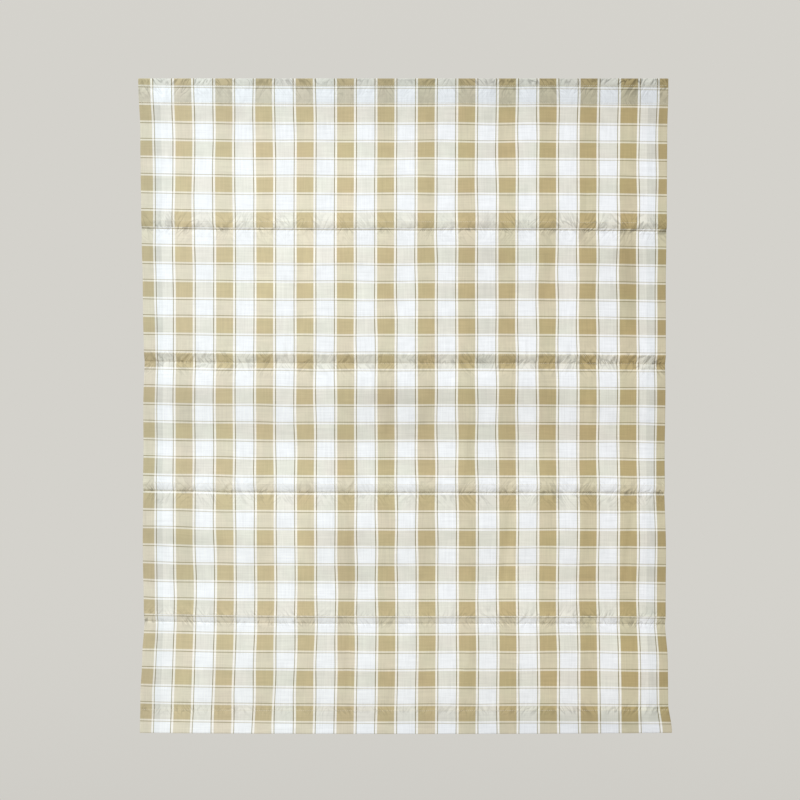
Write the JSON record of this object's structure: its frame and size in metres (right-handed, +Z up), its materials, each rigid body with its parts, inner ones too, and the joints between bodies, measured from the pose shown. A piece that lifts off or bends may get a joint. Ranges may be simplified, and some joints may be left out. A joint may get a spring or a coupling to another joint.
{
  "type": "roman blind",
  "caption": "Flat roman blind let all the way down: one hemmed panel of woven check cloth, crossed by sewn rod pockets and hung from its top edge.",
  "frame": {"origin": "middle of the cloth's top edge", "axes": "+Z up, +X to the right as one faces the blind, and the face of the cloth looks along -Y"},
  "size_m": [1.2323, 0.0226, 1.5132],
  "materials": {
    "check_cotton": "plain-woven cotton in a tan and white check with thin tan lines, matt",
    "pocket_cotton": "plain off-white cotton strip, matt"
  },
  "bodies": {
    "root": {"cloth_panel": "check_cotton", "rod_pocket_1": "pocket_cotton", "rod_pocket_2": "pocket_cotton", "rod_pocket_3": "pocket_cotton", "rod_pocket_4": "pocket_cotton"}
  },
  "joints": []
}
